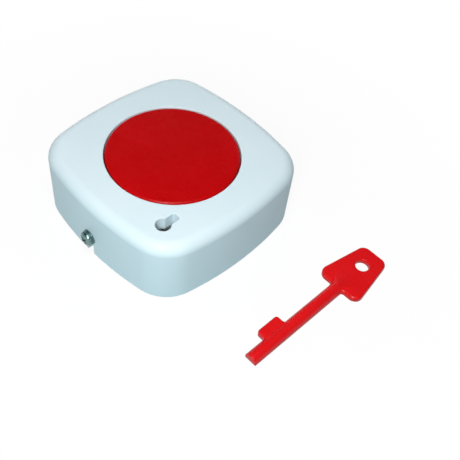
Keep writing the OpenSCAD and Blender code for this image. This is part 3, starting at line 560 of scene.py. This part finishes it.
def thread_sheets():
    """Threaded shank: its radius falls and rises with the distance from a crest that climbs as a helix, and
    narrows at the point."""
    end = HEAD_BASE - SCREW_END
    h = np.linspace(SCREW_UNDER, end, int(-end / THREAD_PITCH * THREAD_ROWS))[:, None]
    a = np.linspace(0, 2 * np.pi, THREAD_COLUMNS, endpoint=False)
    tooth = np.abs((h / THREAD_PITCH + a / (2 * np.pi)) % 1 - 0.5) * 2
    radius = (SCREW_R - THREAD_DEEP * tooth) * np.clip((h - end + POINT_LEAD) / POINT_RUN, POINT_LEAST, 1)
    shank = np.stack([radius * np.cos(a), radius * np.sin(a), h + 0 * a], -1)
    caps = [np.repeat([[[0, 0, z]]], THREAD_COLUMNS, 1) for z in (SCREW_UNDER, end)]
    return [grid(np.concatenate([caps[0], shank, caps[1]]))]


def washer_sheets():
    """Washer: a rounded square section turned about the axis of the screw."""
    out, bore = WASHER_R - WASHER_OUT, SCREW_R + WASHER_PLAY + WASHER_IN
    section = np.concatenate([arc(out, -WASHER_OUT, WASHER_OUT, 90, 0, 3),
                              arc(out, WASHER_OUT - WASHER_T, WASHER_OUT, 0, -90, 3),
                              arc(bore, WASHER_IN - WASHER_T, WASHER_IN, -90, -180, 2),
                              arc(bore, -WASHER_IN, WASHER_IN, 180, 90, 2)])
    return [grid(spun(np.concatenate([section, section[:1]]), WASHER_COLUMNS))]


def noise(tree, scale, detail, rough, stretch=(1, 1, 1)):
    """Noise over the object's own coordinates, in features per metre, drawn out along an axis by a smaller
    stretch. The scale is a number or an output."""
    place = tree.nodes.new("ShaderNodeTexCoord")
    turn = tree.nodes.new("ShaderNodeMapping")
    turn.inputs["Scale"].default_value = stretch
    made = tree.nodes.new("ShaderNodeTexNoise")
    made.inputs["Detail"].default_value = detail
    made.inputs["Roughness"].default_value = rough
    tree.links.new(place.outputs["Object"], turn.inputs["Vector"])
    tree.links.new(turn.outputs["Vector"], made.inputs["Vector"])
    if isinstance(scale, float):
        made.inputs["Scale"].default_value = scale
    else:
        tree.links.new(scale, made.inputs["Scale"])
    return made.outputs["Fac"]


def spread(tree, value, low, high, to_low=0.0, to_high=1.0):
    """Value brought from one range to another and held inside it."""
    made = tree.nodes.new("ShaderNodeMapRange")
    made.inputs["From Min"].default_value = low
    made.inputs["From Max"].default_value = high
    made.inputs["To Min"].default_value = to_low
    made.inputs["To Max"].default_value = to_high
    tree.links.new(value, made.inputs["Value"])
    return made.outputs["Result"]


def of_two(tree, operation, first, second):
    """Sum or product of two values."""
    made = tree.nodes.new("ShaderNodeMath")
    made.operation = operation
    tree.links.new(first, made.inputs[0])
    tree.links.new(second, made.inputs[1])
    return made.outputs[0]


def colour_mix(tree, mask):
    """Mix of two colours by a mask: the inputs for the colours where the mask is 0 and 1, and the output."""
    made = tree.nodes.new("ShaderNodeMix")
    made.data_type = "RGBA"
    tree.links.new(mask, made.inputs[0])
    return made.inputs[6], made.inputs[7], made.outputs[2]


def two_colours(tree, mask, low, high):
    """Colour that goes from low to high with the mask."""
    at_low, at_high, colour = colour_mix(tree, mask)
    at_low.default_value, at_high.default_value = (*low, 1), (*high, 1)
    return colour


def two_shaders(tree, share, first, second, output):
    """Surface of an output that goes from the first shader to the second with the share."""
    mix = tree.nodes.new("ShaderNodeMixShader")
    tree.links.new(share, mix.inputs[0])
    tree.links.new(first.outputs[0], mix.inputs[1])
    tree.links.new(second.outputs[0], mix.inputs[2])
    tree.links.new(mix.outputs[0], tree.nodes[output].inputs["Surface"])


def effect(name, inputs, outputs):
    """Empty shader node group with number inputs and outputs, and its two end nodes."""
    made = bpy.data.node_groups.new(name, "ShaderNodeTree")
    for label, value in inputs.items():
        socket = made.interface.new_socket(label, in_out="INPUT", socket_type="NodeSocketFloat")
        socket.default_value = value
    for label in outputs:
        made.interface.new_socket(label, in_out="OUTPUT", socket_type="NodeSocketFloat")
    return made, made.nodes.new("NodeGroupInput"), made.nodes.new("NodeGroupOutput")


def moulded_surface():
    """Moulded plastic: the fine grain of the tool, slow mottling of the colour, and marks of handling."""
    made, start, end = effect("moulded_surface", {"Grain": 3500.0, "Mottle": 60.0, "Marks": 140.0},
                              ["Height", "Mottle", "Marks"])
    grain = noise(made, start.outputs["Grain"], detail=3, rough=0.6)
    mottle = noise(made, start.outputs["Mottle"], detail=4, rough=0.55)
    marks = noise(made, start.outputs["Marks"], detail=5, rough=0.7)
    made.links.new(grain, end.inputs["Height"])
    made.links.new(spread(made, mottle, 0.3, 0.7), end.inputs["Mottle"])
    made.links.new(spread(made, marks, 0.35, 0.75), end.inputs["Marks"])
    return made


def drawn_metal():
    """Turned or drawn metal: fine streaks along the tool's way and cloudy tarnish."""
    made, start, end = effect("drawn_metal", {"Streaks": 2500.0, "Tarnish": 500.0},
                              ["Height", "Streak", "Tarnish"])
    streak = noise(made, start.outputs["Streaks"], detail=2, rough=0.6, stretch=(1, 0.12, 1))
    tarnish = noise(made, start.outputs["Tarnish"], detail=4, rough=0.6)
    made.links.new(streak, end.inputs["Height"])
    made.links.new(spread(made, streak, 0.3, 0.7), end.inputs["Streak"])
    made.links.new(spread(made, tarnish, 0.35, 0.7), end.inputs["Tarnish"])
    return made


def finish_nodes(name, surface, colour_from, gloss_from, colours, rough, depth):
    """Material with its Principled BSDF and one of the surface groups. Of the group's outputs the two that
    are named go to the colour and the roughness, and the height to a bump of the given depth in metres."""
    made = bpy.data.materials.new(name)
    made.use_nodes = True
    tree = made.node_tree
    shader = tree.nodes["Principled BSDF"]
    group = tree.nodes.new("ShaderNodeGroup")
    group.node_tree = surface
    tree.links.new(two_colours(tree, group.outputs[colour_from], *colours), shader.inputs["Base Color"])
    tree.links.new(spread(tree, group.outputs[gloss_from], 0, 1, *rough), shader.inputs["Roughness"])
    bump = tree.nodes.new("ShaderNodeBump")
    bump.inputs["Distance"].default_value = depth
    tree.links.new(group.outputs["Height"], bump.inputs["Height"])
    tree.links.new(bump.outputs["Normal"], shader.inputs["Normal"])
    return made, shader, group


def plastic(name, low, high, rough, depth=0.000012, specular=0.4, grain=3500.0):
    """Moulded plastic between two near colours, its gloss broken by the marks of handling."""
    made, shader, group = finish_nodes(name, MOULDED, "Mottle", "Marks", (low, high), rough, depth)
    group.inputs["Grain"].default_value = grain
    shader.inputs["Specular IOR Level"].default_value = specular
    return made


def metal(name, low, high, rough=(0.25, 0.45), depth=0.000006):
    """Metal between two near colours, with streaks in its gloss and tarnish in its colour."""
    made, shader, _ = finish_nodes(name, DRAWN, "Tarnish", "Streak", (low, high), rough, depth)
    shader.inputs["Metallic"].default_value = 1.0
    return made


MOULDED = moulded_surface()
DRAWN = drawn_metal()

# Plastics: two colours, range of the roughness, depth of the grain, specular level and fineness of the grain
PLASTICS = {
    "cover_white": ((0.71, 0.86, 0.915), (0.74, 0.88, 0.93), (0.36, 0.46), 0.000008, 0.22),
    "base_white": ((0.70, 0.77, 0.78), (0.76, 0.82, 0.83), (0.5, 0.62), 0.00002, 0.4, 2200.0),
    "button_red": ((0.49, 0.001, 0.002), (0.54, 0.002, 0.004), (0.24, 0.34), 0.000012, 0.14),
    "key_red": ((0.71, 0.006, 0.008), (0.78, 0.009, 0.012), (0.24, 0.34), 0.000008, 0.26),
    "switch_black": ((0.012, 0.012, 0.014), (0.022, 0.022, 0.024), (0.4, 0.55)),
    "plunger_red": ((0.42, 0.012, 0.012), (0.5, 0.02, 0.018), (0.35, 0.45)),
    "terminal_blue": ((0.02, 0.09, 0.34), (0.03, 0.12, 0.4), (0.4, 0.5)),
    "latch_white": ((0.62, 0.63, 0.6), (0.7, 0.7, 0.67), (0.42, 0.55)),
    "board_green": ((0.01, 0.10, 0.035), (0.02, 0.16, 0.06), (0.25, 0.4), 0.000008, 0.5, 900.0),
}
# Metals: two colours and, where it isn't the usual one, the range of the roughness
METALS = {
    "screw_steel": ((0.11, 0.19, 0.185), (0.25, 0.36, 0.36), (0.24, 0.4)),
    "zinc_steel": ((0.48, 0.5, 0.51), (0.62, 0.63, 0.63)),
    "tinned_brass": ((0.56, 0.55, 0.5), (0.68, 0.67, 0.63)),
    "spring_steel": ((0.4, 0.41, 0.43), (0.56, 0.57, 0.58), (0.18, 0.32)),
    "clamp_brass": ((0.6, 0.44, 0.17), (0.72, 0.55, 0.25)),
}
FINISH = {name: plastic(name, *values) for name, values in PLASTICS.items()}
FINISH |= {name: metal(name, *values) for name, values in METALS.items()}

# Pieces with a new mesh
piece("cover_moulding", cover_sheets(), "housing", "cover", "cover_white")
piece("button_moulding", button_sheets(), "button", "push_button", "button_red")
piece("key_moulding", key_sheets(), "key", "reset_key", "key_red")
screw = toward_front(head_sheets() + thread_sheets())
piece("cover_screw_turned", screw, "housing", "cover_screw", "screw_steel", flat=False)
piece("washer_stamped", toward_front(washer_sheets()), "housing", "cover_screw_washer", "screw_steel")

springs = [sheet for corner in CORNERS
           for sheet in coil((*corner, 0), "z", SPRING_R, SPRING_WIRE, SPRING_LOW, SPRING_HIGH)]
return_coils = piece("return_spring_coils", springs, "housing", "return_springs", "spring_steel", flat=False)
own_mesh(return_coils)
latch = coil((LATCH_X, LATCH_Y, LATCH_Z), "x", LATCH_R, LATCH_WIRE, LATCH_LOW, LATCH_HIGH)
latch_coil = piece("latch_spring_coil", latch, "housing", "latch_spring", "spring_steel", flat=False)
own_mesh(latch_coil)

# Finishes of the pieces that keep their CAD shape
KEPT = {
    "base_plate": "base_white", "cover_screw_nut": "zinc_steel", "circuit_board": "board_green",
    "board_screws": "zinc_steel", "switch_case": "switch_black", "switch_pins": "tinned_brass",
    "switch_lever": "spring_steel", "lever_pin": "zinc_steel", "switch_plunger": "plunger_red",
    "terminal_block": "terminal_blue", "terminal_clamps": "clamp_brass", "terminal_screws": "zinc_steel",
    "latch_slide": "latch_white", "latch_guide_screws": "zinc_steel",
}
for name, finish in KEPT.items():
    nodes[name].data.materials.clear()
    nodes[name].data.materials.append(FINISH[finish])

# Floor: its rings and level in millimetres, its own white, the tint of the light that it throws back, and the
# share of its own white that the camera sees from near the object to some way off, in metres
FLOOR_RINGS, FLOOR_LEVEL, FLOOR_COLUMNS = (0, 150, 600, 2500), -0.1, 64
FLOOR_WHITE = ((0.92, 0.92, 0.92), (0.95, 0.95, 0.95))
FLOOR_TINT = ((0.18, 0.37, 0.41), (0.20, 0.39, 0.43))
SHADOW_REACH, WHITE_SHARE = (0.04, 0.12), (0.9, 1)

# Surroundings: their light, and the heights between which the white that is mirrored fades, as a sine
AROUND_COLOUR, AROUND_STRENGTH, FADE_HEIGHTS = (0.93, 0.97, 1.0, 1), 0.07, (0.2, 0.4)

# Camera and lamps, in metres, with the lens and its sensor in millimetres
CAMERA_PLACE = (0.120960, -0.113506, 0.186274)
CAMERA_RIGHT = (0.70006365, 0.70869504, 0.08753416)
CAMERA_UP = (-0.58735315, 0.50176568, 0.63501771)
CAMERA_BACK = (0.40611226, -0.49596628, 0.76752218)
LENS, SENSOR = 55.6775, 36.0
LAMP_AIM, LAMP_UP = (0.02, -0.01, 0.02), (0, 1, 0.01)


def white_rays(tree):
    """Masks of the rays that see white surroundings: those of the camera, and those that a mirror-like or a
    clear surface sends on."""
    path = tree.nodes.new("ShaderNodeLightPath")
    sent_on = of_two(tree, "ADD", path.outputs["Is Glossy Ray"], path.outputs["Is Transmission Ray"])
    return path.outputs["Is Camera Ray"], sent_on


def floor_paper():
    """Paper of the floor: to the camera and in mirrors it is mostly its own white, less so near the object,
    where the light that falls on it keeps the shadow. The light that it throws back is tinted."""
    made = bpy.data.materials.new("floor_paper")
    made.use_nodes = True
    tree = made.node_tree
    shader = tree.nodes["Principled BSDF"]
    shader.inputs["Roughness"].default_value = 0.9
    shader.inputs["Specular IOR Level"].default_value = 0.0
    seen = of_two(tree, "ADD", *white_rays(tree))
    fibres = spread(tree, noise(tree, 900.0, detail=3, rough=0.6), 0.3, 0.7)
    thrown_back, looked_at, tone = colour_mix(tree, seen)
    tree.links.new(two_colours(tree, fibres, *FLOOR_TINT), thrown_back)
    tree.links.new(two_colours(tree, fibres, *FLOOR_WHITE), looked_at)
    tree.links.new(tone, shader.inputs["Base Color"])
    place = tree.nodes.new("ShaderNodeTexCoord")
    away = tree.nodes.new("ShaderNodeVectorMath")
    away.operation = "LENGTH"
    tree.links.new(place.outputs["Object"], away.inputs[0])
    by_distance = spread(tree, away.outputs["Value"], *SHADOW_REACH, *WHITE_SHARE)
    own_white = tree.nodes.new("ShaderNodeEmission")
    two_shaders(tree, of_two(tree, "MULTIPLY", by_distance, seen), shader, own_white, "Material Output")
    return made


def pale_floor():
    """Floor: a flat profile turned about the object."""
    points, faces = grid(spun(np.array([[r, FLOOR_LEVEL] for r in FLOOR_RINGS]), FLOOR_COLUMNS))
    mesh = bpy.data.meshes.new("floor")
    mesh.from_pydata((points * MM).tolist(), [], faces.tolist())
    mesh.materials.append(floor_paper())
    floor = bpy.data.objects.new("floor", mesh)
    scene.collection.objects.link(floor)


def studio_world():
    """Dim, even surroundings. What the camera sees past the floor is white, and so is what mirror-like
    surfaces see there, but for them the white fades out some way above the floor."""
    world = bpy.data.worlds.new("studio")
    scene.world = world
    world.use_nodes = True
    tree = world.node_tree
    around = tree.nodes["Background"]
    around.inputs["Color"].default_value = AROUND_COLOUR
    around.inputs["Strength"].default_value = AROUND_STRENGTH
    white = tree.nodes.new("ShaderNodeBackground")
    white.inputs["Color"].default_value = (1, 1, 1, 1)
    place = tree.nodes.new("ShaderNodeTexCoord")
    height = tree.nodes.new("ShaderNodeSeparateXYZ")
    tree.links.new(place.outputs["Generated"], height.inputs[0])
    camera, sent_on = white_rays(tree)
    low_down = of_two(tree, "MULTIPLY", sent_on, spread(tree, height.outputs["Z"], *FADE_HEIGHTS, 1, 0))
    two_shaders(tree, of_two(tree, "ADD", camera, low_down), around, white, "World Output")


def put(made, right, up, back, place):
    """Object linked to the scene, with the directions of its own three axes and its place."""
    scene.collection.objects.link(made)
    turn = np.eye(4)
    turn[:3] = np.stack([right, up, back, place], -1)
    made.matrix_world = Matrix(turn.tolist())


def soft_lamp(name, place, aim, size, power, mirrored=True):
    """Square area lamp at a place, turned to a point. One that isn't mirrored leaves no sheen."""
    lamp = bpy.data.lights.new(name, "AREA")
    lamp.size, lamp.energy = size, power
    made = bpy.data.objects.new(name, lamp)
    made.visible_glossy = mirrored
    back = np.array(place, float) - aim
    back /= np.linalg.norm(back)
    right = np.cross(LAMP_UP, back)
    right /= np.linalg.norm(right)
    put(made, right, np.cross(back, right), back, place)


def photo_camera():
    """Camera at the photo's place, its lens worked out for a square frame."""
    lens = bpy.data.cameras.new("photo_camera")
    lens.sensor_width, lens.lens = SENSOR, LENS
    lens.clip_start, lens.clip_end = 0.01, 20.0
    scene.camera = bpy.data.objects.new("photo_camera", lens)
    put(scene.camera, CAMERA_RIGHT, CAMERA_UP, CAMERA_BACK, CAMERA_PLACE)


pale_floor()
soft_lamp("lamp_behind_the_camera", (0.12, -0.165, 0.20), LAMP_AIM, size=0.08, power=0.485)
soft_lamp("lamp_overhead", (0.12, -0.10, 0.60), LAMP_AIM, size=0.25, power=1.42)
soft_lamp("lamp_low_at_the_back", (-0.32, 0.30, 0.13), (0, 0, 0.01), size=0.3, power=0.66, mirrored=False)
photo_camera()
studio_world()
scene.view_settings.view_transform = "Standard"
